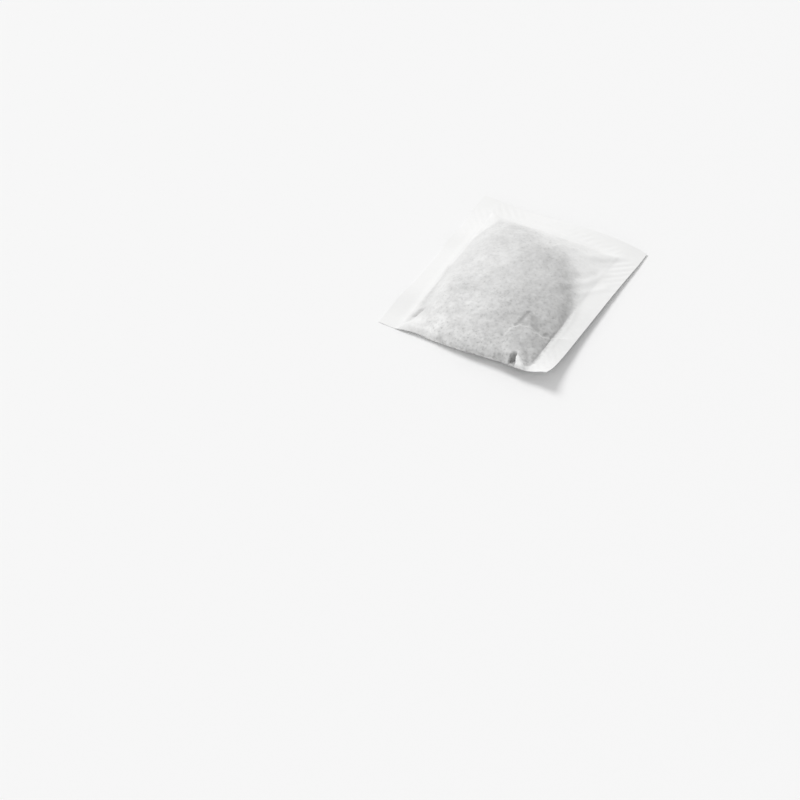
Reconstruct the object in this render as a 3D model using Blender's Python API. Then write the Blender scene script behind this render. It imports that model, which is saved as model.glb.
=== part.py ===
"""Flat tea bag: one sheet of filter paper, folded over its tea and heat-sealed on three sides.

The bag lies on its underside. X runs along the fold from the left seal to the right one, Y runs from
the fold to the far seal, and Z is up. The origin is at the bottom centre of the bag's box, and every
size is in metres.
"""
import math

import bmesh
import bpy
import numpy as np

# Flat size of the sealed bag
BAG_WIDTH = 0.055
BAG_LENGTH = 0.062
SIDE_SEAL = 0.0063
FAR_SEAL = 0.0062
PAPER = 0.0001

# Heights at which the two skins meet, and the bend of their line across the bag
LEFT_SEAM_HEIGHT = 0.0010
RIGHT_SEAM_HEIGHT = 0.0028
FAR_LEFT_SEAM_HEIGHT = 0.0010
FAR_RIGHT_SEAM_HEIGHT = 0.0017
SEAM_BEND = 1.5
FOLD_LIFT = 0.0005
FOLD_LIFT_REACH = 0.0030

# Heights of the seals' cut edges, and the places, reaches and heights of their swells
LOW_EDGE = 0.0004
LEFT_SWELLS = ((0.011, 0.006, 0.0011), (0.041, 0.005, 0.0007))
FAR_SWELL = 0.0020
FAR_SWELL_SKEW = 1.6
CORNER_FLATNESS = 0.5
FAR_RIGHT_HEIGHT = 0.0006
RIGHT_EDGE_RISE = 0.0020
RIGHT_TIP_RISE = 0.0016
RIGHT_TIP_REACH = 0.0050

# Top of the tea in the pocket
FILL_HEIGHT = 0.00565
FILL_HEIGHT_AT_FOLD = 0.0044
FILL_RISE = 0.0223

# Shoulders of the two skins in from each side: how far they run, and how full they are (0.5 is a quarter
# ellipse, 1 a parabola)
UPPER_SHOULDERS = {"left": (0.0130, 0.95), "right": (0.0120, 0.66), "far": (0.0125, 0.95),
                   "fold": (0.0050, 0.60), "corner": (0.0140, 0.50)}
LOWER_SHOULDERS = {"left": (0.0028, 1.10), "right": (0.0043, 0.90), "far": (0.0030, 1.50),
                   "fold": (0.0060, 1.15), "corner": (0.0060, 1.50)}

# Corners that hold no tea: the slack one at the far right, and the cut-off one at the near left
UPPER_SLACK = 0.0040
LOWER_SLACK = 0.0070
SLACK_START = -0.0085
SLACK_END = 0.0210
UPPER_CORNER = 0.0020
LOWER_CORNER = 0.0037
CORNER_SLANT = 0.45

# Flat foot that the bag rests on, and how the underside curves up beyond it
FOOT_LEFT = -0.0135
FOOT_RIGHT = 0.0095
FOOT_NEAR = -0.0245
FOOT_FAR = 0.0215
FOOT_CURVE_REACH = 0.0040
FOOT_CURVE_RISE = 0.00035

# How the full pocket draws the flat edges in
SIDE_PULL = 0.0006
FOLD_PULL = 0.00085
FAR_PULL = 0.00045

# Gathers where the paper leaves the seals, and the share of the full height from which folds stand fully
GATHER_DEPTH = 0.00020
GATHER_SPACING = 0.0085
GATHER_START = 0.0018
GATHER_REACH = 0.0070
FOLDED_SHARE = 0.5

# Unevenness of the tea under the upper skin
LUMP_HEIGHT = 0.00016
LUMP_SPACING_X = 0.0150
LUMP_SPACING_Y = 0.0190

# Tuck in the fold beside the right seal: a gap, and the flap of paper that stands beside it
TUCK_INSET = 0.0068
TUCK_LENGTH = 0.0045
GAP_WIDTH = 0.0011
GAP_DEPTH = 0.0012
FLAP_RISE = 0.0006
FLAP_WIDTH = 0.0045

# Mesh cells across each stretch
SEAL_CELLS = 4
POCKET_CELLS_X = 26
TUCK_CELLS = 5
BESIDE_TUCK_CELLS = 5
POCKET_CELLS_Y = 38
CELL_EASE = 0.45

PAPER_COLOUR = (0.72, 0.72, 0.71, 1.0)
PAPER_ROUGHNESS = 0.85
SHARP_ANGLE = 40

LEFT_EDGE = -BAG_WIDTH / 2
RIGHT_EDGE = BAG_WIDTH / 2
FOLD_EDGE = -BAG_LENGTH / 2
FAR_EDGE = BAG_LENGTH / 2
LEFT_SEAM = LEFT_EDGE + SIDE_SEAL
RIGHT_SEAM = RIGHT_EDGE - SIDE_SEAL
FAR_SEAM = FAR_EDGE - FAR_SEAL
TUCK_PLACE = RIGHT_SEAM - TUCK_INSET


def clear_scene():
    """Removes whatever objects the file opened with."""
    for old in list(bpy.data.objects):
        bpy.data.objects.remove(old)


def grid_lines(stops, cells):
    """Grid lines through every stop, closer together near the stops than between them."""
    lines = [stops[0]]
    for start, end, count in zip(stops, stops[1:], cells):
        for step in range(1, count + 1):
            part = step / count
            eased = part - CELL_EASE * math.sin(2 * math.pi * part) / (2 * math.pi)
            lines.append(start + (end - start) * eased)
    return np.array(lines)


def smooth_step(value):
    """Eases from 0 to 1 as value goes from 0 to 1."""
    held = np.clip(value, 0.0, 1.0)
    return held * held * (3.0 - 2.0 * held)


def shoulder(distance, run, fullness):
    """Share of the full height at a distance in from a seam: 0 at the seam, 1 past the run."""
    held = np.clip(distance / run, 0.0, 1.0)
    return (1.0 - (1.0 - held) ** 2) ** fullness


def seam_height(x, y):
    """Height at which the two skins meet, under the whole bag."""
    across = np.clip((x - LEFT_EDGE) / BAG_WIDTH, 0.0, 1.0) ** SEAM_BEND
    near = LEFT_SEAM_HEIGHT + (RIGHT_SEAM_HEIGHT - LEFT_SEAM_HEIGHT) * across
    far = FAR_LEFT_SEAM_HEIGHT + (FAR_RIGHT_SEAM_HEIGHT - FAR_LEFT_SEAM_HEIGHT) * across
    return near + (far - near) * smooth_step((y - FOLD_EDGE) / BAG_LENGTH)


def left_edge_height(beyond_fold):
    """Height of the left cut edge: flat on the table but for two swells."""
    height = np.full_like(beyond_fold, LOW_EDGE)
    for place, reach, rise in LEFT_SWELLS:
        height = height + rise * np.exp(-((beyond_fold - place) / reach) ** 2)
    return height


def right_edge_height(beyond_fold):
    """Height of the right cut edge, which rises to the fold and curls up at its tip."""
    tip = RIGHT_TIP_RISE * np.exp(-beyond_fold / RIGHT_TIP_REACH)
    return FAR_RIGHT_HEIGHT + RIGHT_EDGE_RISE * (1.0 - beyond_fold / BAG_LENGTH) + tip


def far_edge_height(across):
    """Height of the far cut edge, with one long swell."""
    swell = FAR_SWELL * np.sin(math.pi * across ** FAR_SWELL_SKEW)
    return LOW_EDGE + (FAR_RIGHT_HEIGHT - LOW_EDGE) * across + swell


def closed_height(x, y):
    """Height of the closed sheet: the seams' height, and the cut edges' heights out on the seals."""
    out_left = np.clip((LEFT_SEAM - x) / SIDE_SEAL, 0.0, 1.0)
    out_right = np.clip((x - RIGHT_SEAM) / SIDE_SEAL, 0.0, 1.0)
    out_far = np.clip((y - FAR_SEAM) / FAR_SEAL, 0.0, 1.0)
    out_side = np.maximum(out_left, out_right)
    height = seam_height(x, y)
    height = height + FOLD_LIFT * np.exp(-(y - FOLD_EDGE) / FOLD_LIFT_REACH) * (1.0 - out_side)
    height = height + (left_edge_height(y - FOLD_EDGE) - height) * out_left
    height = height + (right_edge_height(y - FOLD_EDGE) - height) * out_right
    across = np.clip((x - LEFT_EDGE) / BAG_WIDTH, 0.0, 1.0)
    lifted = out_far * (1.0 - CORNER_FLATNESS * out_side)
    return height + (far_edge_height(across) - height) * lifted


def gathers(along, distance):
    """Ripples that run in from a seam and fade out over the gathers' reach."""
    fade = np.clip(1.0 - distance / GATHER_REACH, 0.0, 1.0) ** 2
    rise = np.clip(distance / GATHER_START, 0.0, 1.0)
    return GATHER_DEPTH * fade * rise * np.sin(2 * math.pi * along / GATHER_SPACING)


def lumps(x, y):
    """Low swells of the tea under the upper skin."""
    along_x = 2 * math.pi * x / LUMP_SPACING_X
    along_y = 2 * math.pi * y / LUMP_SPACING_Y
    return LUMP_HEIGHT * np.sin(along_x + np.sin(along_y)) * np.cos(along_y)


def tuck(x, y):
    """Gap that the fold's paper makes where it is tucked in, and the flap to the right of it."""
    beside = x - TUCK_PLACE
    fade = np.clip(1.0 - (y - FOLD_EDGE) / TUCK_LENGTH, 0.0, 1.0)
    gap = GAP_DEPTH * np.exp(-(2.0 * beside / GAP_WIDTH) ** 2)
    flap = np.where(beside > 0.0, FLAP_RISE * np.clip(1.0 - beside / FLAP_WIDTH, 0.0, 1.0), 0.0)
    return (flap - gap) * fade * smooth_step((y - FOLD_EDGE) / GAP_WIDTH)


def pocket_share(x, y, shoulders, slack_side, corner_cut):
    """Share of its full height that a skin reaches at each point of the pocket."""
    slack = slack_side * smooth_step((y - SLACK_START) / (SLACK_END - SLACK_START))
    corner = (x - LEFT_SEAM) + CORNER_SLANT * (y - FOLD_EDGE) - corner_cut
    distances = {"left": x - LEFT_SEAM, "right": RIGHT_SEAM - slack - x, "far": FAR_SEAM - y,
                 "fold": y - FOLD_EDGE, "corner": corner / math.hypot(1.0, CORNER_SLANT)}
    share = np.ones_like(x)
    for side, distance in distances.items():
        share = share * shoulder(distance, *shoulders[side])
    return share


def underside_curve(x, y):
    """Height of the crowned underside: 0 on the foot, rising beyond it."""
    beyond_x = np.maximum(np.maximum(FOOT_LEFT - x, x - FOOT_RIGHT), 0.0)
    beyond_y = np.maximum(np.maximum(FOOT_NEAR - y, y - FOOT_FAR), 0.0)
    return FOOT_CURVE_RISE * np.clip(np.hypot(beyond_x, beyond_y) / FOOT_CURVE_REACH, 0.0, 1.0)


def skin_heights(x, y):
    """Heights of the upper and lower skins over the flat bag."""
    closed = closed_height(x, y)
    upper_share = pocket_share(x, y, UPPER_SHOULDERS, UPPER_SLACK, UPPER_CORNER)
    lower_share = pocket_share(x, y, LOWER_SHOULDERS, LOWER_SLACK, LOWER_CORNER)
    ripple = gathers(y, np.minimum(np.abs(x - LEFT_SEAM), np.abs(RIGHT_SEAM - x)))
    ripple = ripple + gathers(x, np.abs(FAR_SEAM - y))
    folds = (ripple + tuck(x, y)) * smooth_step(upper_share / FOLDED_SHARE)
    rise = smooth_step((y - FOLD_EDGE) / FILL_RISE)
    full = FILL_HEIGHT_AT_FOLD + (FILL_HEIGHT - FILL_HEIGHT_AT_FOLD) * rise
    upper = closed + PAPER + (full - closed - PAPER) * upper_share
    upper = upper + folds + lumps(x, y) * upper_share ** 2
    lower = np.maximum((closed - PAPER) * (1.0 - lower_share), underside_curve(x, y))
    return np.maximum(upper, lower + 2 * PAPER), lower


def drawn_in(x, y):
    """Moves the flat points in where the full pocket draws the edges together."""
    along = 1.0 - (2.0 * y / BAG_LENGTH) ** 2
    across = (1.0 - (2.0 * x / BAG_WIDTH) ** 2) ** 2
    end_pull = np.where(y < 0.0, FOLD_PULL, FAR_PULL)
    return x * (1.0 - SIDE_PULL / RIGHT_EDGE * along), y * (1.0 - end_pull / FAR_EDGE * across)


def bag_mesh():
    """Closed mesh of the two skins, joined round the seals' cut edges and along the fold."""
    columns = grid_lines([LEFT_EDGE, LEFT_SEAM, TUCK_PLACE - GAP_WIDTH, TUCK_PLACE + GAP_WIDTH, RIGHT_SEAM,
                          RIGHT_EDGE],
                         [SEAL_CELLS, POCKET_CELLS_X, TUCK_CELLS, BESIDE_TUCK_CELLS, SEAL_CELLS])
    rows = grid_lines([FOLD_EDGE, FAR_SEAM, FAR_EDGE], [POCKET_CELLS_Y, SEAL_CELLS])
    flat_x, flat_y = np.meshgrid(columns, rows, indexing="ij")
    upper_z, lower_z = skin_heights(flat_x, flat_y)
    x, y = drawn_in(flat_x, flat_y)

    mesh = bmesh.new()
    upper = {}
    lower = {}
    for i in range(len(columns)):
        for j in range(len(rows)):
            upper[i, j] = mesh.verts.new((x[i, j], y[i, j], upper_z[i, j]))
            lower[i, j] = mesh.verts.new((x[i, j], y[i, j], lower_z[i, j]))
    last_i = len(columns) - 1
    last_j = len(rows) - 1
    for i in range(last_i):
        for j in range(last_j):
            mesh.faces.new((upper[i, j], upper[i + 1, j], upper[i + 1, j + 1], upper[i, j + 1]))
            mesh.faces.new((lower[i, j + 1], lower[i + 1, j + 1], lower[i + 1, j], lower[i, j]))
    rim = [(i, 0) for i in range(last_i)] + [(last_i, j) for j in range(last_j)]
    rim += [(i, last_j) for i in range(last_i, 0, -1)] + [(0, j) for j in range(last_j, 0, -1)]
    for here, there in zip(rim, rim[1:] + rim[:1]):
        mesh.faces.new((lower[here], lower[there], upper[there], upper[here]))
    return mesh


def stand_on_origin(mesh):
    """Puts the bottom centre of the mesh's box at the origin."""
    places = np.array([vertex.co[:] for vertex in mesh.verts])
    low = places.min(axis=0)
    high = places.max(axis=0)
    shift = ((low[0] + high[0]) / 2, (low[1] + high[1]) / 2, low[2])
    bmesh.ops.translate(mesh, verts=mesh.verts, vec=[-step for step in shift])


def paper_material():
    """Matt white filter paper."""
    material = bpy.data.materials.new("filter_paper")
    material.use_nodes = True
    shader = material.node_tree.nodes["Principled BSDF"]
    shader.inputs["Base Color"].default_value = PAPER_COLOUR
    shader.inputs["Roughness"].default_value = PAPER_ROUGHNESS
    shader.inputs["Metallic"].default_value = 0.0
    return material


def make_tea_bag():
    """The sealed bag as one solid: paper, seals and the tea inside."""
    shape = bag_mesh()
    stand_on_origin(shape)
    data = bpy.data.meshes.new("tea_bag")
    shape.to_mesh(data)
    shape.free()
    data.materials.append(paper_material())
    data.shade_smooth()
    data.set_sharp_from_angle(angle=math.radians(SHARP_ANGLE))
    bag = bpy.data.objects.new("tea_bag", data)
    bpy.context.scene.collection.objects.link(bag)
    return bag


clear_scene()
make_tea_bag()
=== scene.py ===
"""Looks of a flat tea bag: folded filter paper, sealed on three sides round its tea.

The paper is two plies of one folded sheet. They start flat and are settled in code: the tea pushes them
apart while each ply keeps its own length, and that makes the gathers and the slack corner. The seals are
drawn towards set heights, which give their waves. The creases, the tuck in the fold, the fold's bulge and
the worn corner are added to the settled paper. Lengths are in metres, X runs along the fold and Y from the fold to the far seal. On the flat sheet, u and v
are the distances from its near left corner along X and Y.
"""
import math

import bpy
import numpy as np
from mathutils import Matrix, Vector


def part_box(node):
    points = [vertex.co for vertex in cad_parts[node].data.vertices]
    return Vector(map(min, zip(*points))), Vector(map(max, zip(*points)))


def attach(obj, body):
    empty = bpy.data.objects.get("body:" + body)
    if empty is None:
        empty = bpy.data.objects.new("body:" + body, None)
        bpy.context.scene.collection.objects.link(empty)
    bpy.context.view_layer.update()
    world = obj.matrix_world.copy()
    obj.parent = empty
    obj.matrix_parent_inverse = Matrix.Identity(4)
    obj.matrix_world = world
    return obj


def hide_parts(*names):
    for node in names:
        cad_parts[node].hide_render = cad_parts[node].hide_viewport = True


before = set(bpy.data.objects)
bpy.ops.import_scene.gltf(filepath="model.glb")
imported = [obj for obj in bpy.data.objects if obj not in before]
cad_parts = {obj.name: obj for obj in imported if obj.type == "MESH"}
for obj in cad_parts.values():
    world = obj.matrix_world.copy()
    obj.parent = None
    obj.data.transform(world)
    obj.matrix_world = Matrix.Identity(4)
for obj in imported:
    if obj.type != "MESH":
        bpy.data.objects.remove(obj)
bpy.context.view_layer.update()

# Flat size of the bag, from the frame, its seals and seams, and how near a point counts as on a seam
LOW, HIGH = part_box("tea_bag")
WIDTH = HIGH[0] - LOW[0]
LENGTH = HIGH[1] - LOW[1]
SIDE_SEAL = 0.0063
FAR_SEAL = 0.0062
PLY = 0.0001
LEFT_SEAM = -WIDTH / 2 + SIDE_SEAL
RIGHT_SEAM = WIDTH / 2 - SIDE_SEAL
FAR_SEAM = LENGTH / 2 - FAR_SEAL
FOLD = -LENGTH / 2
ON_SEAM = 1e-9

# Heights at which the plies meet, and the share of the width over which the fold rises
NEAR_LEFT_HEIGHT = 0.0002
NEAR_RIGHT_HEIGHT = 0.0033
FAR_LEFT_HEIGHT = 0.0012
FAR_RIGHT_HEIGHT = 0.0013
NEAR_RISE_START = 0.10
NEAR_RISE_RUN = 0.80

# The tea inside
TEA_TOP = 0.0054
TEA_TOP_AT_FOLD = 0.0040
TEA_TOP_RUN = 0.022
TEA_EDGE = 0.0006
TEA_MARGIN = 0.0002
UNDER_PLAY = 0.0003
EMPTY_CORNER = 0.0075
EMPTY_CORNER_SLANT = 0.43
SLACK_START = -0.010
SLACK_END = 0.024
SLACK_SIDE = 0.0092

# Shoulders of the tea's top and underside: the run in from each edge, and how full the curve is
TOP_LEFT = (0.011, 0.95)
TOP_RIGHT = (0.0075, 0.7)
TOP_FAR = (0.010, 0.9)
TOP_NEAR = (0.0036, 0.55)
TOP_CORNER = (0.007, 0.8)
UNDER_SIDES = (0.0045, 0.6)
UNDER_NEAR = (0.0062, 0.9)
UNDER_CORNER = (0.004, 0.6)

# Lumps in the tea's top: height, spacing and seed
LUMPS = ((0.00016, 0.014, 3), (0.00007, 0.006, 4))

# Cut edge of the left seal: its height, and its swells with their height, place and reach from the fold
LEFT_EDGE = 0.0001
LEFT_EDGE_SWELLS = ((0.0008, 0.011, 0.006), (0.0007, 0.041, 0.005), (0.0009, 0.062, 0.009))

# Cut edge of the right seal: its height at the far end, and how far it rises to the fold and at its tip
RIGHT_EDGE = 0.0004
RIGHT_EDGE_RISE = 0.0020
RIGHT_TIP_RISE = 0.0029
RIGHT_TIP_REACH = 0.0065

# Cut edge of the far seal: its height, its tilt, its wave and how that leans, its left corner's rise and what
# share of the width that reaches over, and how much less the edge leaves the seam's height at its corners
FAR_EDGE = 0.0001
FAR_EDGE_TILT = 0.0003
FAR_WAVE = 0.0021
FAR_WAVE_LEAN = 1.9
FAR_CORNER_RISE = 0.0009
FAR_CORNER_REACH = 0.2
FAR_CORNER_EASE = 0.5

# Creases in the upper ply, in u and v: route, width, depth, height of a ridge beside it, and how much grey
# is painted along it, partly tea that shows where the paper presses on it and partly painted shade in the
# crease; a value below 0 is a painted highlight. A depth below 0 is a raised line.
CREASES = (
    (((0.0085, 0.0064), (0.0089, 0.0074), (0.0093, 0.0085)), 0.0009, 0.00055, 0.00012, 0.46),
    (((0.0082, 0.0042), (0.0085, 0.0062)), 0.0008, 0.00014, 0.0, 0.12),
    (((0.0077, 0.0021), (0.0118, 0.0013), (0.0162, 0.0018), (0.0198, 0.0012)), 0.0006, -0.00016, 0.0, 0.0),
    (((0.0113, 0.0072), (0.0138, 0.0053), (0.0165, 0.0039)), 0.0008, -0.00018, 0.0, 0.0),
    (((0.0083, 0.0115), (0.0077, 0.0170), (0.0070, 0.0225), (0.0062, 0.0290)), 0.0008, 0.00012, 0.0, 0.15),
    (((0.0380, 0.0133), (0.0386, 0.0147), (0.0388, 0.0177), (0.0391, 0.0193)), 0.00045, 0.00018, 0.0, 0.55),
    (((0.0391, 0.0193), (0.0405, 0.0187), (0.0418, 0.0172)), 0.00050, 0.00016, 0.00004, 0.34),
    (((0.0401, 0.0156), (0.0417, 0.0170)), 0.00150, 0.00006, 0.0, 0.12),
    (((0.0426, 0.0152), (0.0446, 0.0146)), 0.00055, 0.00028, 0.00008, 0.42),
    (((0.0469, 0.0146), (0.0472, 0.0149)), 0.00055, 0.00024, 0.0, 0.46),
    # These three lines have no relief: painted highlights on the lit edge of the paper over the tuck's gap and
    # along the lit rim of the pillow
    (((0.0404, 0.0037), (0.0432, 0.0042)), 0.0008, 0.0, 0.0, -0.24),
    (((0.0374, 0.0085), (0.0378, 0.0112), (0.0393, 0.0134), (0.0414, 0.0138)), 0.00045, 0.0, 0.0, -0.16),
    (((0.0444, 0.0132), (0.0468, 0.0131), (0.0480, 0.0141)), 0.00045, 0.0, 0.0, -0.11),
    (((0.0400, 0.0325), (0.0435, 0.0362), (0.0466, 0.0405), (0.0490, 0.0470)), 0.0013, -0.00022, 0.0, -0.08),
    (((0.0440, 0.0325), (0.0478, 0.0360), (0.0520, 0.0420)), 0.0010, -0.00015, 0.0, -0.04),
    (((0.0425, 0.0400), (0.0450, 0.0415), (0.0475, 0.0450)), 0.0012, 0.00012, 0.0, 0.08),
    (((0.0350, 0.0490), (0.0420, 0.0530), (0.0480, 0.0545)), 0.0012, -0.00014, 0.0, 0.0),
)
RIDGE_WIDTHS_OFF = 1.7

# Pillow that the folded paper makes beside the tuck: its far rim, and how high and how deep it swells
PILLOW_RIM = ((0.0386, 0.0055), (0.0374, 0.0085), (0.0377, 0.0110), (0.0390, 0.0131), (0.0412, 0.0137),
              (0.0440, 0.0131), (0.0468, 0.0131), (0.0482, 0.0142))
PILLOW_RISE = 0.00060
PILLOW_SLOPE = 0.0010
PILLOW_FADE = 0.0045
PILLOW_START = 0.0034
PILLOW_RUN_IN = 0.0034

# Tuck in the fold beside the right seal: a gap with shade painted into it, and the flap of paper that stands
# beside it
GAP = ((0.0437, -0.0006), (0.0434, 0.0016), (0.0430, 0.0031))
GAP_WIDTH = 0.00088
GAP_DEPTH = 0.0025
GAP_SQUARENESS = 4
GAP_PAINTED_SHADE = 0.15
FLAP = ((0.0438, 0.0040), (0.0447, -0.0006), (0.0480, 0.0004))
FLAP_RISE = 0.00080
FLAP_EDGE = 0.0005
FLAP_DROP = 0.6
FLAP_DROP_RUN = 0.005
TUCK_FADE = 0.0004

# Share of the room between the plies that a hollow in the upper one may take up
DEEPEST_SHARE = 0.8

# Wear that draws in the near right corner: how far, where along the fold, how deep and which way
CORNER_WEAR = 0.0006
CORNER_WEAR_START = 0.044
CORNER_WEAR_RUN = 0.007
CORNER_WEAR_REACH = 0.0050
CORNER_WEAR_WAY = (-0.7, 1.0, 0.0)

# How far the tea pushes out the fold's middle, where that is, and how far it reaches along and into the bag,
# and how far the empty left end is drawn in
FOLD_BULGE = 0.0007
BULGE_MIDDLE = 0.0270
BULGE_HALF_WIDTH = 0.0130
BULGE_REACH = 0.0100
LEFT_END_DRAWN = 0.0004
LEFT_END_MIDDLE = 0.0120
LEFT_END_HALF_WIDTH = 0.0050

# Grain of the tea pressed through the paper: height, spacing and seed, and how many waves it is made of
GRAIN = ((0.00002, 0.0013, 21), (0.00003, 0.0024, 22))
GRAIN_WAVES = 60

# How strongly the tea shows through: its thin layer, its thick core, partly shade painted on the right side
# that faces away from the key light, the dust beyond them, the dust on the left, partly painted shade that
# dims the slope there facing the key light, and the seals
THIN_SHOW = 0.379
CORE_AND_RIGHT_SHADE_SHOW = 0.361
FAINT_SHOW = 0.21
LEFT_DUST_AND_SHADE_SHOW = 0.17
SEAL_SHOW = 0.015

# The two layers, the thick one partly painted shade, each with a rounded far right corner: its centre and
# reach in u and v, how square the corner is, and its edge's softness at the fold, added away from the fold,
# and added where the tea lies loose
THIN_LAYER = ((0.015, 0.018), (0.035, 0.038), 2.10, (0.0013, 0.0014, 0.0068))
CORE_AND_RIGHT_SHADE_LAYER = ((0.028, 0.020), (0.0213, 0.026), 2.0, (0.0015, 0.0018, 0.0030))

# Spans in u or v: where a change starts, and its run. A run below 0 goes back towards the near left corner.
OFF_FOLD_SPAN = (0.010, 0.010)
LOOSE_SPAN = (0.026, 0.016)
THIN_END_SPAN = (0.0585, -0.0095)
GATHER_SPAN = (0.040, 0.012)
POCKET_RIGHT_SPAN = (WIDTH - SIDE_SEAL - 0.0006, -0.0010)
POCKET_FAR_SPAN = (0.0580, -0.0050)
SLACK_FAINT_SPAN = (0.038, 0.008)
FAINT_SPAN = (0.012, 0.020)
# Beside the left seal the grey is partly painted shade, dimming the slope there that faces the key light
LEFT_DUST_AND_SHADE_SPAN = (0.0056, 0.0012)
LEFT_DUST_AND_SHADE_END_SPAN = (0.0575, -0.0065)
LEFT_DUST_AND_SHADE_LIMIT = 0.030
SLACK_FAINTER = 0.5

# Left side of the thick core and its painted shade, which starts further in at the fold
CORE_START = 0.019
CORE_START_AT_FOLD = 0.005
CORE_START_REACH = 0.020
CORE_RUN = 0.021

# Left edge of the tea's layers, and how the gather at the far end moves and softens it
LEFT_EDGE_START = 0.0052
LEFT_EDGE_RUN = 0.0022
GATHER_START = 0.0030
GATHER_RUN = 0.0016

# Empty near left corner, where less tea shows: how much, the sum of u and v at its edge, and the softness
EMPTY_SHARE = 0.55
EMPTY_EDGE = 0.0183
EMPTY_SOFTNESS = 0.0060

# Bare paper at the near right tip
TIP_START = 0.0462
TIP_SLOPE = 1.1
TIP_SOFTNESS = 0.0012

# How clearly the leaf specks show: in the far half, added towards the fold, added at it, and on the left
SPECKS_FAR = 0.70
SPECKS_NEARER = 0.36
SPECKS_NEARER_SPAN = (0.030, -0.012)
SPECKS_AT_FOLD = 0.44
SPECKS_AT_FOLD_SPAN = (0.010, -0.008)
SPECKS_LEFT_SHARE = 0.45
SPECKS_LEFT_SPAN = (0.008, 0.010)

# Shade painted on the right seal beside the tea, and how much of it goes towards the cut edge
SEAL_SHADE = 0.12
SEAL_SHADE_SPAN = (0.046, 0.004)
SEAL_SHADE_FAR_SPAN = (0.034, -0.010)
SEAL_SHADE_LOSS = 0.6
SEAL_SHADE_LOSS_SPAN = (0.049, 0.003)

# Settling the paper
COARSE_COLUMNS = 51
COARSE_ROWS = 57
COARSE_STEPS = 200
COARSE_WEIGHT = 0.4e-6
FINE_STEPS = 110
FINE_WEIGHT = 0.1e-6
GROWN_BY = 0.6
SWEEPS = 6
KEEP_SPEED = 0.9
SHEAR_STRENGTH = 0.6
BEND_STRENGTH = 0.14
SEAL_BEND_STRENGTH = 0.8
SEAL_HOLD = 0.05
OUT_OF_REACH = 1.0
LEAST_LENGTH = 1e-12

# How strongly open paper resists bending, over so many grid cells
OPEN_BENDS = ((2, BEND_STRENGTH), (4, BEND_STRENGTH), (8, 0.0))

# Unevenness of the flat paper at the start: height, spacing and seed
START_HEIGHT = 0.00004
START_SPACING = 0.009
START_SEED = 11

# Random swells: how many waves, and their least and greatest spacing as shares of the one asked for
SWELL_WAVES = 24
SWELL_SPACINGS = (0.7, 1.5)

# Paper and tea colours, the tea grey also used for the painted shade, and the paper's roughness
PAPER_WHITE = (0.900, 0.900, 0.895)
TEA_AND_SHADE_GREY = (0.420, 0.420, 0.417, 1)
PAPER_ROUGHNESS = 0.85

# Leaf bits: cells a metre, how smooth they are, and their weight in the mottle
LEAF_SCALE = 1050.0
LEAF_SMOOTHNESS = 0.8
LEAF_WEIGHT = 0.18

# Dust, clouds and patches in the mottle: waves a metre, detail and roughness, and their weights
DUST = (1300.0, 3.0, 0.6)
DUST_WEIGHT = 0.34
CLOUDS = (330.0, 2.0, 0.5)
CLOUD_WEIGHT = 0.52
PATCHES = (130.0, 1.0, 0.5)
PATCH_WEIGHT = 0.42
MOTTLE_START = -0.745

# Dark dots, which are the highest dust, and how deep the mottle goes for the tea that shows
DOT_START = 0.57
DOT_WEIGHT = 1.3
MOTTLE_DEPTH = 3.1

# Fibres: directions, turn of the first, shift of each, waves a metre along and across, and their effect on the
# white
FIBRE_DIRECTIONS = 5
FIBRE_TURN = 0.3
FIBRE_OFFSET = 0.013
FIBRES_ALONG = 350.0
FIBRES_ACROSS = 5500.0
FIBRE_CONTRAST = 0.10
FIBRE_BASE = 0.95

# Fine bump of the fibres and the leaf under them
LEAF_HEIGHT = -0.35
BUMP_STRENGTH = 0.6
BUMP_DISTANCE = 0.00012

# Angle from which an edge of the mesh is shaded sharp, in degrees
SHARP_ANGLE = 60

# Table top
FLOOR_HALF = 1.5
FLOOR_WHITE = (0.92, 0.92, 0.92, 1)
FLOOR_ROUGHNESS = 0.9

# Key light, and the strength of the pale surround: as light, and as the camera sees it
KEY_PLACE = (-0.60, 0.22, 0.68)
KEY_SPREAD = 26
KEY_ENERGY = 1.62
SURROUND_LIGHT = 0.63
SURROUND_SEEN = 0.92

# Camera: turn about the bag, height, roll and distance, and where the bag's middle sits in the picture
PICTURE = 800
FOCAL_PIXELS = 1800.0
SENSOR_WIDTH = 36.0
NEAREST_SEEN = 0.01
FARTHEST_SEEN = 10.0
TURN = 34.7
ELEVATION = 46.3
ROLL = -4.4
DISTANCE = 0.5239
MIDDLE_X = 514.4
MIDDLE_Y = 288.05


def smooth_step(value):
    """Eases from 0 to 1 as value goes from 0 to 1."""
    held = np.clip(value, 0.0, 1.0)
    return held * held * (3.0 - 2.0 * held)


def ramp(place, start, run):
    """Eases from 0 at the start to 1 one run further on, or further back where the run is below 0."""
    return smooth_step((place - start) / run)


def swells(x, y, spacing, seed, count=SWELL_WAVES):
    """Even random swells of about the given spacing, near 1 high."""
    rng = np.random.default_rng(seed)
    total = np.zeros_like(x)
    for _ in range(count):
        heading = rng.uniform(0, 2 * math.pi)
        turns = 2 * math.pi / (spacing * rng.uniform(*SWELL_SPACINGS))
        start = rng.uniform(0, 2 * math.pi)
        total += np.sin(turns * (x * math.cos(heading) + y * math.sin(heading)) + start)
    return total / math.sqrt(count / 2)


def swell(along, middle, reach):
    """One smooth swell of height 1 along an edge."""
    return np.exp(-((along - middle) / reach) ** 2)


def shoulder(distance, run, fullness):
    """Share of the full height at a distance in from an edge: 0 at the edge, 1 past the run."""
    held = np.clip(distance / run, 0.0, 1.0)
    return (1.0 - (1.0 - held) ** 2) ** fullness


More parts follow.
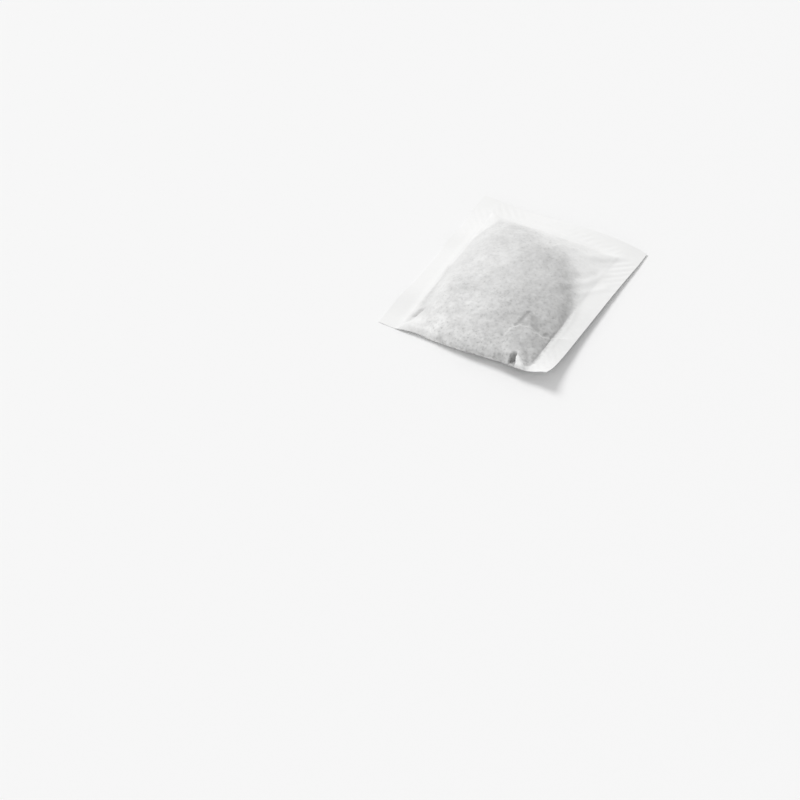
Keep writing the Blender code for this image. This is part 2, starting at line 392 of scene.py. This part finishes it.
def seam_height(x, y):
    """Height at which the two plies meet."""
    across = np.clip(x / WIDTH + 0.5, 0.0, 1.0)
    risen = ramp(across, NEAR_RISE_START, NEAR_RISE_RUN)
    near = NEAR_LEFT_HEIGHT + (NEAR_RIGHT_HEIGHT - NEAR_LEFT_HEIGHT) * risen
    far = FAR_LEFT_HEIGHT + (FAR_RIGHT_HEIGHT - FAR_LEFT_HEIGHT) * across
    return near + (far - near) * smooth_step(y / LENGTH + 0.5)


def slack_share(y):
    """0 where the tea fills the bag's width, and 1 where it leaves the right side slack."""
    return ramp(y, SLACK_START, SLACK_END - SLACK_START)


def tea_shape(x, y):
    """Heights of the tea's top and underside, and where there is tea."""
    left = x - LEFT_SEAM - TEA_EDGE
    right = RIGHT_SEAM - TEA_EDGE - SLACK_SIDE * slack_share(y) - x
    far = FAR_SEAM - TEA_EDGE - y
    near = y - FOLD - TEA_EDGE
    corner = (x - LEFT_SEAM) + EMPTY_CORNER_SLANT * (y - FOLD) - EMPTY_CORNER
    corner = corner / math.hypot(1.0, EMPTY_CORNER_SLANT)
    rise = shoulder(left, *TOP_LEFT) * shoulder(right, *TOP_RIGHT) * shoulder(far, *TOP_FAR)
    rise = rise * shoulder(near, *TOP_NEAR) * shoulder(corner, *TOP_CORNER)
    drop = shoulder(left, *UNDER_SIDES) * shoulder(right, *UNDER_SIDES) * shoulder(far, *UNDER_SIDES)
    drop = drop * shoulder(near, *UNDER_NEAR) * shoulder(corner, *UNDER_CORNER)
    lumps = sum(height * swells(x, y, spacing, seed) for height, spacing, seed in LUMPS)
    middle = seam_height(x, y)
    full = TEA_TOP_AT_FOLD + (TEA_TOP - TEA_TOP_AT_FOLD) * ramp(y, FOLD, TEA_TOP_RUN)
    inside = np.minimum.reduce([left, right, far, near, corner]) > TEA_MARGIN
    return middle + (full + lumps - middle) * rise, middle * (1.0 - drop), inside


def flat_places(columns, rows):
    """X and Y of a flat sheet's grid points."""
    x = np.linspace(-WIDTH / 2, WIDTH / 2, columns)[:, None] + np.zeros((1, rows))
    y = np.linspace(-LENGTH / 2, LENGTH / 2, rows)[None, :] + np.zeros((columns, 1))
    return x, y


def sealed_places(x, y):
    """Where the two plies are one: in the three seals and along the fold."""
    sealed = (x < LEFT_SEAM + ON_SEAM) | (x > RIGHT_SEAM - ON_SEAM) | (y > FAR_SEAM - ON_SEAM)
    sealed[:, 0] = True
    return sealed


def seal_heights(x, y):
    """Heights that the seals tend to, from the seam out to their cut edges."""
    across = np.clip(x / WIDTH + 0.5, 0.0, 1.0)
    beyond_fold = y - FOLD
    left = sum((height * swell(beyond_fold, place, reach) for height, place, reach in LEFT_EDGE_SWELLS),
               LEFT_EDGE)
    right = RIGHT_EDGE + RIGHT_EDGE_RISE * (1.0 - beyond_fold / LENGTH)
    right = right + RIGHT_TIP_RISE * np.exp(-beyond_fold / RIGHT_TIP_REACH)
    far = FAR_EDGE + FAR_EDGE_TILT * across + FAR_WAVE * np.sin(math.pi * across ** FAR_WAVE_LEAN)
    far = far + FAR_CORNER_RISE * swell(across, 0.0, FAR_CORNER_REACH)
    out_left = np.clip((LEFT_SEAM - x) / SIDE_SEAL, 0.0, 1.0)
    out_right = np.clip((x - RIGHT_SEAM) / SIDE_SEAL, 0.0, 1.0)
    out_far = np.clip((y - FAR_SEAM) / FAR_SEAL, 0.0, 1.0)
    height = seam_height(x, y)
    height = height + (left - height) * out_left
    height = height + (right - height) * out_right
    return height + (far - height) * out_far * (1.0 - FAR_CORNER_EASE * np.maximum(out_left, out_right))


def pull(points, first, second, rest, strength, only_short=False):
    """Moves pairs of points towards their rest distance."""
    apart = points[second] - points[first]
    length = np.sqrt((apart * apart).sum(-1, keepdims=True)) + LEAST_LENGTH
    miss = length - rest
    if only_short:
        miss = np.minimum(miss, 0.0)
    step = apart * (0.5 * strength * miss / length)
    points[first] += step
    points[second] -= step


def links(columns, rows, reach_x, reach_y):
    """Pairs of grid points so far apart, in groups that share no point."""
    groups = []
    step = max(reach_x, abs(reach_y))
    along_x = reach_x > 0
    count = columns if along_x else rows
    line = np.arange(count - step)
    for half in (0, 1):
        chosen = line[(line // step) % 2 == half]
        if not along_x:
            groups.append(((slice(None), chosen), (slice(None), chosen + step)))
        elif reach_y == 0:
            groups.append(((chosen, slice(None)), (chosen + step, slice(None))))
        elif reach_y > 0:
            groups.append(((chosen, slice(0, rows - 1)), (chosen + step, slice(1, rows))))
        else:
            groups.append(((chosen, slice(1, rows)), (chosen + step, slice(0, rows - 1))))
    return groups


def length_links(columns, rows, cell_x, cell_y):
    """Links that keep the paper's length, along its grid and across its cells."""
    diagonal = math.hypot(cell_x, cell_y)
    return [(links(columns, rows, 1, 0), cell_x, 1.0),
            (links(columns, rows, 0, 1), cell_y, 1.0),
            (links(columns, rows, 1, 1), diagonal, SHEAR_STRENGTH),
            (links(columns, rows, 1, -1), diagonal, SHEAR_STRENGTH)]


def bend_links(columns, rows, cell_x, cell_y, sealed):
    """Links that resist bending, more strongly in the seals."""
    bends = []
    for reach, open_strength in OPEN_BENDS:
        stiff = np.where(sealed, SEAL_BEND_STRENGTH, open_strength)[..., None]
        bends.append((links(columns, rows, reach, 0), reach * cell_x, stiff))
        bends.append((links(columns, rows, 0, reach), reach * cell_y, stiff))
    return bends


def settle(skins, steps, growth, weight):
    """Lets the two plies find their shape while the tea grows between them."""
    columns, rows = skins[0].shape[:2]
    cell_x = WIDTH / (columns - 1)
    cell_y = LENGTH / (rows - 1)
    x, y = flat_places(columns, rows)
    sealed = sealed_places(x, y)
    heights = seal_heights(x, y)
    held = sealed & (np.arange(rows) > 0)
    lengths = length_links(columns, rows, cell_x, cell_y)
    bends = bend_links(columns, rows, cell_x, cell_y, sealed)
    before = [skin.copy() for skin in skins]
    for step in range(steps):
        grown = growth(step / steps)
        top, _, upper_mask = tea_shape(skins[0][..., 0], skins[0][..., 1])
        _, base, lower_mask = tea_shape(skins[1][..., 0], skins[1][..., 1])
        middle = seam_height(skins[0][..., 0], skins[0][..., 1])
        floor_of_upper = np.where(upper_mask & ~sealed, middle + grown * (top - middle), PLY)
        middle = seam_height(skins[1][..., 0], skins[1][..., 1])
        roof_of_lower = np.where(lower_mask & ~sealed, middle + grown * (base - middle), OUT_OF_REACH)
        floor_of_lower = np.where(lower_mask & ~sealed, np.maximum(roof_of_lower - UNDER_PLAY, PLY), PLY)
        for skin, last in zip(skins, before):
            speed = (skin - last) * KEEP_SPEED
            last[...] = skin
            skin += speed
            skin[..., 2] -= weight
            skin[..., 2] += np.where(held, SEAL_HOLD * (heights - skin[..., 2]), 0.0)
        for _ in range(SWEEPS):
            for skin in skins:
                for groups, rest, strength in lengths:
                    for first, second in groups:
                        pull(skin, first, second, rest, strength)
                for groups, rest, stiff in bends:
                    for first, second in groups:
                        strength = np.minimum(stiff[first], stiff[second])
                        pull(skin, first, second, rest, strength, only_short=True)
            middle = 0.5 * (skins[0] + skins[1])
            skins[0][sealed] = middle[sealed]
            skins[1][sealed] = middle[sealed]
            skins[0][..., 2] = np.maximum(skins[0][..., 2], floor_of_upper)
            skins[1][..., 2] = np.clip(skins[1][..., 2], floor_of_lower, np.maximum(roof_of_lower, PLY))
            gap = skins[0][..., 2] - skins[1][..., 2]
            part = np.where((gap < PLY) & ~sealed, (PLY - gap) / 2, 0.0)
            skins[0][..., 2] += part
            skins[1][..., 2] = np.maximum(skins[1][..., 2] - part, PLY)


def refine(points):
    """Twice as many cells each way, on smooth curves through the same points."""
    for _ in range(2):
        ends_low = 2 * points[:1] - points[1:2]
        ends_high = 2 * points[-1:] - points[-2:-1]
        wide = np.concatenate([ends_low, points, ends_high])
        middle = (9 * (wide[1:-2] + wide[2:-1]) - (wide[:-3] + wide[3:])) / 16
        finer = np.empty((2 * len(points) - 1,) + points.shape[1:])
        finer[::2] = points
        finer[1::2] = middle
        points = np.swapaxes(finer, 0, 1)
    return points


def settled_plies():
    """The upper and lower ply, settled round the tea."""
    x, y = flat_places(COARSE_COLUMNS, COARSE_ROWS)
    z = seam_height(x, y) + START_HEIGHT * swells(x, y, START_SPACING, START_SEED)
    skins = [np.stack([x, y, z + PLY / 2], -1), np.stack([x, y, z - PLY / 2], -1)]
    settle(skins, COARSE_STEPS, lambda part: smooth_step(part / GROWN_BY), COARSE_WEIGHT)
    skins = [refine(skin) for skin in skins]
    settle(skins, FINE_STEPS, lambda part: 1.0, FINE_WEIGHT)
    return [refine(skin) for skin in skins]


def outward(points):
    """Unit normals of a grid of points, up on a grid seen from above."""
    normal = np.cross(np.gradient(points, axis=0), np.gradient(points, axis=1))
    return normal / np.linalg.norm(normal, axis=-1, keepdims=True)


def route_offset(u, v, route):
    """Distance from a route, and the side of it: 1 on the right of its run and -1 on the left."""
    nearest = np.ones_like(u)
    side = np.zeros_like(u)
    for (start_u, start_v), (end_u, end_v) in zip(route, route[1:]):
        run_u = end_u - start_u
        run_v = end_v - start_v
        part = ((u - start_u) * run_u + (v - start_v) * run_v) / (run_u ** 2 + run_v ** 2)
        part = np.clip(part, 0.0, 1.0)
        off_u = u - start_u - part * run_u
        off_v = v - start_v - part * run_v
        distance = np.hypot(off_u, off_v)
        closer = distance < nearest
        side = np.where(closer, np.sign(off_u * run_v - off_v * run_u), side)
        nearest = np.where(closer, distance, nearest)
    return nearest, side


def crease_relief(u, v):
    """Relief of the creases, and the grey painted along them: partly tea that shows, partly painted shade, and
    a painted highlight where it is below 0.
    """
    relief = np.zeros_like(u)
    painted_shade_and_highlight = np.zeros_like(u)
    for route, width, depth, ridge, show in CREASES:
        distance, side = route_offset(u, v, route)
        line = np.exp(-(distance / width) ** 2)
        relief += ridge * swell(side * distance, RIDGE_WIDTHS_OFF * width, width) - depth * line
        painted_shade_and_highlight += show * line
    return relief, painted_shade_and_highlight


def pillow_relief(u, v):
    """Relief of the pillow: a short slope up from its rim, and a long one down inside."""
    distance, side = route_offset(u, v, PILLOW_RIM)
    inset = side * distance
    inside = np.clip(inset, 0.0, None)
    height = PILLOW_RISE * ramp(v, PILLOW_START, PILLOW_RUN_IN)
    return height * smooth_step(0.5 + inset / PILLOW_SLOPE) * np.exp(-(inside / PILLOW_FADE) ** 2)


def flap_share(u, v):
    """1 on the tuck's flap, a triangle beside the gap, and 0 off it."""
    share = np.ones_like(u)
    for start, end in zip(FLAP, FLAP[1:] + FLAP[:1]):
        run_u = end[0] - start[0]
        run_v = end[1] - start[1]
        inside = (run_u * (v - start[1]) - run_v * (u - start[0])) / math.hypot(run_u, run_v)
        share *= smooth_step(0.5 + inside / FLAP_EDGE)
    return share


def gap_share(u, v):
    """1 along the middle of the tuck's gap, and 0 off it."""
    distance, _ = route_offset(u, v, GAP)
    return np.exp(-(distance / GAP_WIDTH) ** GAP_SQUARENESS)


def tuck_relief(u, v):
    """Relief of the tuck, which fades out at the fold itself."""
    slope = 1.0 - FLAP_DROP * np.clip((u - FLAP[0][0]) / FLAP_DROP_RUN, 0.0, 1.0)
    relief = FLAP_RISE * slope * flap_share(u, v) - GAP_DEPTH * gap_share(u, v)
    return relief * smooth_step(v / TUCK_FADE)


def edge_shift(u, v):
    """How wear draws in the near right corner, and how the fold swells out over the tea."""
    worn = CORNER_WEAR * ramp(u, CORNER_WEAR_START, CORNER_WEAR_RUN) * np.exp(-v / CORNER_WEAR_REACH)
    bulge = FOLD_BULGE * swell(u, BULGE_MIDDLE, BULGE_HALF_WIDTH)
    bulge = bulge - LEFT_END_DRAWN * swell(u, LEFT_END_MIDDLE, LEFT_END_HALF_WIDTH)
    bulge = bulge * np.exp(-v / BULGE_REACH)
    return worn[..., None] * np.array(CORNER_WEAR_WAY) - bulge[..., None] * np.array([0.0, 1.0, 0.0])


def layer_share(u, v, layer):
    """1 inside a layer of tea that ends in a rounded far right corner, and 0 outside it."""
    centre, reach, squareness, (at_fold, off_fold, loose) = layer
    softness = at_fold + off_fold * ramp(v, *OFF_FOLD_SPAN) + loose * ramp(v, *LOOSE_SPAN)
    across = np.clip((u - centre[0]) / reach[0], 0.0, None)
    along = np.clip((v - centre[1]) / reach[1], 0.0, None)
    inset = reach[0] * (1.0 - (across ** squareness + along ** squareness) ** (1.0 / squareness))
    return smooth_step(0.5 + inset / softness)


def layers_and_right_shade_show(u, v):
    """How much of the thin layer and of the core shows, the core being partly shade painted on the right side,
    which faces away from the key light.
    """
    thin = layer_share(u, v, THIN_LAYER) * ramp(v, *THIN_END_SPAN)
    core_start = CORE_START + CORE_START_AT_FOLD * (1.0 - smooth_step(v / CORE_START_REACH))
    core_and_right_shade = layer_share(u, v, CORE_AND_RIGHT_SHADE_LAYER) * ramp(u, core_start, CORE_RUN)
    gather = ramp(v, *GATHER_SPAN)
    left = ramp(u, LEFT_EDGE_START + GATHER_START * gather, LEFT_EDGE_RUN + GATHER_RUN * gather)
    corner = EMPTY_SHARE + (1.0 - EMPTY_SHARE) * smooth_step(0.5 + (u + v - EMPTY_EDGE) / EMPTY_SOFTNESS)
    return left * corner * (THIN_SHOW * thin + CORE_AND_RIGHT_SHADE_SHOW * core_and_right_shade)


def dust_and_shade_show(u, v):
    """How much of the dust shows: in the whole pocket, less where it is slack, and beside the left seal, where
    it is partly painted shade that dims the slope facing the key light.
    """
    pocket = ramp(u, *POCKET_RIGHT_SPAN) * ramp(v, *POCKET_FAR_SPAN)
    slack = 1.0 - SLACK_FAINTER * ramp(u, *SLACK_FAINT_SPAN)
    faint = FAINT_SHOW * ramp(u, *FAINT_SPAN) * slack * pocket
    beside = LEFT_DUST_AND_SHADE_SHOW * ramp(u, *LEFT_DUST_AND_SHADE_SPAN) * ramp(v, *LEFT_DUST_AND_SHADE_END_SPAN)
    return np.maximum(faint, beside * (u < LEFT_DUST_AND_SHADE_LIMIT))


def tea_and_shade_show(u, v):
    """How much of the tea shows through the pocket's paper, with the shade painted on its right side and
    beside the left seal.
    """
    tip = smooth_step(1.0 + (v - TIP_SLOPE * np.clip(u - TIP_START, 0.0, None)) / TIP_SOFTNESS)
    return tip * np.maximum(layers_and_right_shade_show(u, v), dust_and_shade_show(u, v))


def speck_contrast(u, v):
    """How clearly the leaf specks show: most near the fold, where the tea lies against the paper."""
    contrast = SPECKS_FAR + SPECKS_NEARER * ramp(v, *SPECKS_NEARER_SPAN)
    contrast = contrast + SPECKS_AT_FOLD * ramp(v, *SPECKS_AT_FOLD_SPAN)
    return contrast * (SPECKS_LEFT_SHARE + (1.0 - SPECKS_LEFT_SHARE) * ramp(u, *SPECKS_LEFT_SPAN))


def seal_grey_and_painted_shade(u, v):
    """The seals' own faint grey, and the shade painted on the right seal beside the tea."""
    beside = ramp(u, *SEAL_SHADE_SPAN) * ramp(v, *SEAL_SHADE_FAR_SPAN)
    return SEAL_SHOW + SEAL_SHADE * beside * (1.0 - SEAL_SHADE_LOSS * ramp(u, *SEAL_SHADE_LOSS_SPAN))


def grid_faces(columns, rows, start, flip):
    """Quads of one grid of points."""
    at = start + np.arange(columns * rows).reshape(columns, rows)
    quads = np.stack([at[:-1, :-1], at[1:, :-1], at[1:, 1:], at[:-1, 1:]], -1).reshape(-1, 4)
    return quads[:, ::-1] if flip else quads


def rim_faces(columns, rows):
    """Quads that close the cut edges and the fold."""
    at = np.arange(columns * rows).reshape(columns, rows)
    ring = np.concatenate([at[:-1, 0], at[-1, :-1], at[:0:-1, -1], at[0, :0:-1]])
    after = np.roll(ring, -1)
    below = columns * rows
    return np.stack([ring + below, after + below, after, ring], -1)


def closed_mesh(name, upper, lower):
    """One mesh of both plies, closed along its edges."""
    columns, rows = upper.shape[:2]
    points = np.concatenate([upper.reshape(-1, 3), lower.reshape(-1, 3)])
    faces = np.concatenate([grid_faces(columns, rows, 0, False),
                            grid_faces(columns, rows, columns * rows, True),
                            rim_faces(columns, rows)])
    data = bpy.data.meshes.new(name)
    data.from_pydata(points.tolist(), [], faces.tolist())
    data.shade_smooth()
    data.set_sharp_from_angle(angle=math.radians(SHARP_ANGLE))
    return data


def add_values(data, name, on_upper, on_lower):
    """Stores a value for each point of both plies, which the material reads by its name."""
    stored = data.attributes.new(name, "FLOAT", "POINT")
    stored.data.foreach_set("value", np.concatenate([on_upper.ravel(), on_lower.ravel()]))


def make_bag():
    """The settled paper with its relief as one closed mesh, and how the tea shows through it, with painted
    shade and highlights.
    """
    upper, lower = settled_plies()
    x, y = flat_places(*upper.shape[:2])
    u, v = x + WIDTH / 2, y + LENGTH / 2
    show = tea_and_shade_show(u, v)
    creases, painted_shade_and_highlight = crease_relief(u, v)
    grain = sum(height * swells(x, y, spacing, seed, GRAIN_WAVES) for height, spacing, seed in GRAIN)
    relief = grain * show + creases + pillow_relief(u, v) + tuck_relief(u, v)
    room = np.linalg.norm(upper - lower, axis=-1)
    relief = np.maximum(relief, -DEEPEST_SHARE * room)
    shift = edge_shift(u, v)
    upper = upper + outward(upper) * (PLY + relief)[..., None] + shift
    lower = lower - outward(lower) * PLY + shift
    lower[..., 2] = np.maximum(lower[..., 2], 0.0)
    data = closed_mesh("filter_paper", upper, lower)
    # The stored tea value is partly painted: shade in the creases, the tuck's gap, on the right seal, on the
    # right side and beside the left seal, and highlights along some lines
    least = seal_grey_and_painted_shade(u, v)
    seen = np.clip(show + painted_shade_and_highlight + GAP_PAINTED_SHADE * gap_share(u, v), 0.0, 1.0) * (1.0 - flap_share(u, v))
    add_values(data, "tea", np.maximum(seen, least), np.maximum(show, least))
    specks = speck_contrast(u, v)
    add_values(data, "specks", specks, specks)
    bag = bpy.data.objects.new("filter_paper", data)
    bpy.context.scene.collection.objects.link(bag)
    return bag


def node(tree, kind, settings=(), **inputs):
    """Adds a shader node, sets its properties and its inputs, and links those that are sockets."""
    made = tree.nodes.new(kind)
    for name, value in dict(settings).items():
        setattr(made, name, value)
    for name, value in inputs.items():
        socket = made.inputs[name.replace("_", " ")]
        if isinstance(value, bpy.types.NodeSocket):
            tree.links.new(value, socket)
        else:
            socket.default_value = value
    return made


def arithmetic(tree, operation, first, second, third=0.0):
    """Adds a math node and returns its result."""
    made = tree.nodes.new("ShaderNodeMath")
    made.operation = operation
    for socket, value in zip(made.inputs, (first, second, third)):
        if isinstance(value, bpy.types.NodeSocket):
            tree.links.new(value, socket)
        else:
            socket.default_value = value
    return made.outputs[0]


def noise(tree, place, scale, detail, roughness):
    """Adds a noise pattern and returns its strength."""
    pattern = node(tree, "ShaderNodeTexNoise", Vector=place, Scale=scale, Detail=detail, Roughness=roughness)
    return pattern.outputs["Fac"]


def stored_value(tree, name):
    """Reads a value that is stored with the paper's points."""
    return node(tree, "ShaderNodeAttribute", {"attribute_name": name}).outputs["Fac"]


def fibres(tree, place):
    """Fine paper fibres lying in several directions."""
    total = 0.0
    for turn in range(FIBRE_DIRECTIONS):
        angle = math.pi * (turn + FIBRE_TURN) / FIBRE_DIRECTIONS
        turned = node(tree, "ShaderNodeMapping", Vector=place, Rotation=(0.0, 0.0, angle),
                      Location=(FIBRE_OFFSET * turn, 0.0, 0.0),
                      Scale=(FIBRES_ALONG, FIBRES_ACROSS, FIBRES_ALONG))
        threads = node(tree, "ShaderNodeTexNoise", Vector=turned.outputs[0], Scale=1.0, Detail=1.0)
        total = arithmetic(tree, "MULTIPLY_ADD", threads.outputs["Fac"], 1.0 / FIBRE_DIRECTIONS, total)
    return total


def leaf_mottle(tree, place):
    """Light and dark of the leaf under the paper: bits, dust, clouds, patches and dark dots."""
    leaf = node(tree, "ShaderNodeTexVoronoi", {"feature": "SMOOTH_F1"}, Vector=place,
                Scale=LEAF_SCALE, Smoothness=LEAF_SMOOTHNESS)
    bits = node(tree, "ShaderNodeSeparateColor", Color=leaf.outputs["Color"]).outputs["Red"]
    dust = noise(tree, place, *DUST)
    mottle = arithmetic(tree, "MULTIPLY_ADD", bits, LEAF_WEIGHT, MOTTLE_START)
    mottle = arithmetic(tree, "MULTIPLY_ADD", dust, DUST_WEIGHT, mottle)
    mottle = arithmetic(tree, "MULTIPLY_ADD", noise(tree, place, *CLOUDS), CLOUD_WEIGHT, mottle)
    mottle = arithmetic(tree, "MULTIPLY_ADD", noise(tree, place, *PATCHES), PATCH_WEIGHT, mottle)
    dots = arithmetic(tree, "MAXIMUM", arithmetic(tree, "SUBTRACT", dust, DOT_START), 0.0)
    return arithmetic(tree, "MULTIPLY_ADD", dots, DOT_WEIGHT, mottle)


def paper_material():
    """White filter paper with its fibres, and the tea showing grey and mottled through it, with painted shade
    and highlights in the same grey.
    """
    material = bpy.data.materials.new("filter_paper")
    material.use_nodes = True
    tree = material.node_tree
    shader = tree.nodes["Principled BSDF"]
    place = node(tree, "ShaderNodeTexCoord").outputs["Object"]
    # The stored tea value also carries the painted shade and highlights
    tea = stored_value(tree, "tea")
    threads = fibres(tree, place)

    depth = arithmetic(tree, "MINIMUM", arithmetic(tree, "MULTIPLY", tea, MOTTLE_DEPTH), 1.0)
    depth = arithmetic(tree, "MULTIPLY", depth, stored_value(tree, "specks"))
    mottle = leaf_mottle(tree, place)
    shown = arithmetic(tree, "MULTIPLY_ADD", mottle, depth, tea)
    shown = arithmetic(tree, "MAXIMUM", shown, 0.0)

    cloudy = arithmetic(tree, "MULTIPLY_ADD", threads, FIBRE_CONTRAST, FIBRE_BASE)
    paper = node(tree, "ShaderNodeVectorMath", {"operation": "SCALE"}, Scale=cloudy)
    paper.inputs[0].default_value = PAPER_WHITE
    colour = node(tree, "ShaderNodeMix", {"data_type": "RGBA"})
    tree.links.new(shown, colour.inputs["Factor"])
    tree.links.new(paper.outputs[0], colour.inputs["A"])
    colour.inputs["B"].default_value = TEA_AND_SHADE_GREY
    tree.links.new(colour.outputs["Result"], shader.inputs["Base Color"])

    leaf = arithmetic(tree, "MULTIPLY", mottle, depth)
    height = arithmetic(tree, "MULTIPLY_ADD", leaf, LEAF_HEIGHT, threads)
    bump = node(tree, "ShaderNodeBump", Height=height, Strength=BUMP_STRENGTH, Distance=BUMP_DISTANCE)
    tree.links.new(bump.outputs["Normal"], shader.inputs["Normal"])
    shader.inputs["Roughness"].default_value = PAPER_ROUGHNESS
    return material


def floor_material():
    """Plain matt white."""
    material = bpy.data.materials.new("table_top")
    material.use_nodes = True
    shader = material.node_tree.nodes["Principled BSDF"]
    shader.inputs["Base Color"].default_value = FLOOR_WHITE
    shader.inputs["Roughness"].default_value = FLOOR_ROUGHNESS
    return material


def make_floor():
    """Plain pale table under the bag."""
    data = bpy.data.meshes.new("table_top")
    corners = [(-FLOOR_HALF, -FLOOR_HALF, 0), (FLOOR_HALF, -FLOOR_HALF, 0),
               (FLOOR_HALF, FLOOR_HALF, 0), (-FLOOR_HALF, FLOOR_HALF, 0)]
    data.from_pydata(corners, [], [(0, 1, 2, 3)])
    data.materials.append(floor_material())
    floor = bpy.data.objects.new("table_top", data)
    bpy.context.scene.collection.objects.link(floor)


def make_key_light():
    """Soft key from behind on the left."""
    lamp = bpy.data.lights.new("key", "SUN")
    lamp.angle = math.radians(KEY_SPREAD)
    lamp.energy = KEY_ENERGY
    key = bpy.data.objects.new("key", lamp)
    key.location = KEY_PLACE
    key.rotation_euler = (-Vector(key.location)).to_track_quat("-Z", "Y").to_euler()
    bpy.context.scene.collection.objects.link(key)


def make_surround():
    """Even pale surround."""
    world = bpy.data.worlds.new("surround")
    world.use_nodes = True
    tree = world.node_tree
    seen = tree.nodes.new("ShaderNodeLightPath").outputs["Is Camera Ray"]
    strength = arithmetic(tree, "MULTIPLY_ADD", seen, SURROUND_SEEN - SURROUND_LIGHT, SURROUND_LIGHT)
    tree.nodes["Background"].inputs["Color"].default_value = (1, 1, 1, 1)
    tree.links.new(strength, tree.nodes["Background"].inputs["Strength"])
    bpy.context.scene.world = world


def make_camera():
    """The photograph's view of the bag."""
    turn, height, roll = (math.radians(value) for value in (TURN, ELEVATION, ROLL))
    back = Vector((math.sin(turn) * math.cos(height), -math.cos(turn) * math.cos(height), math.sin(height)))
    level = Vector((math.cos(turn), math.sin(turn), 0.0))
    upright = back.cross(level)
    right = level * math.cos(roll) + upright * math.sin(roll)
    up = upright * math.cos(roll) - level * math.sin(roll)
    sight = Vector(((MIDDLE_X - PICTURE / 2) / FOCAL_PIXELS, (PICTURE / 2 - MIDDLE_Y) / FOCAL_PIXELS, -1.0))
    sight = sight.normalized() * DISTANCE
    turned = Matrix((right, up, back)).transposed()
    data = bpy.data.cameras.new("camera")
    data.sensor_width = SENSOR_WIDTH
    data.lens = FOCAL_PIXELS / PICTURE * data.sensor_width
    data.clip_start = NEAREST_SEEN
    data.clip_end = FARTHEST_SEEN
    camera = bpy.data.objects.new("camera", data)
    camera.matrix_world = Matrix.Translation(-(turned @ sight)) @ turned.to_4x4()
    bpy.context.scene.collection.objects.link(camera)
    bpy.context.scene.camera = camera


bag = make_bag()
bag.data.materials.append(paper_material())
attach(bag, "root")
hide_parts("tea_bag")

make_floor()
make_key_light()
make_surround()
make_camera()
bpy.context.scene.view_settings.view_transform = "Standard"
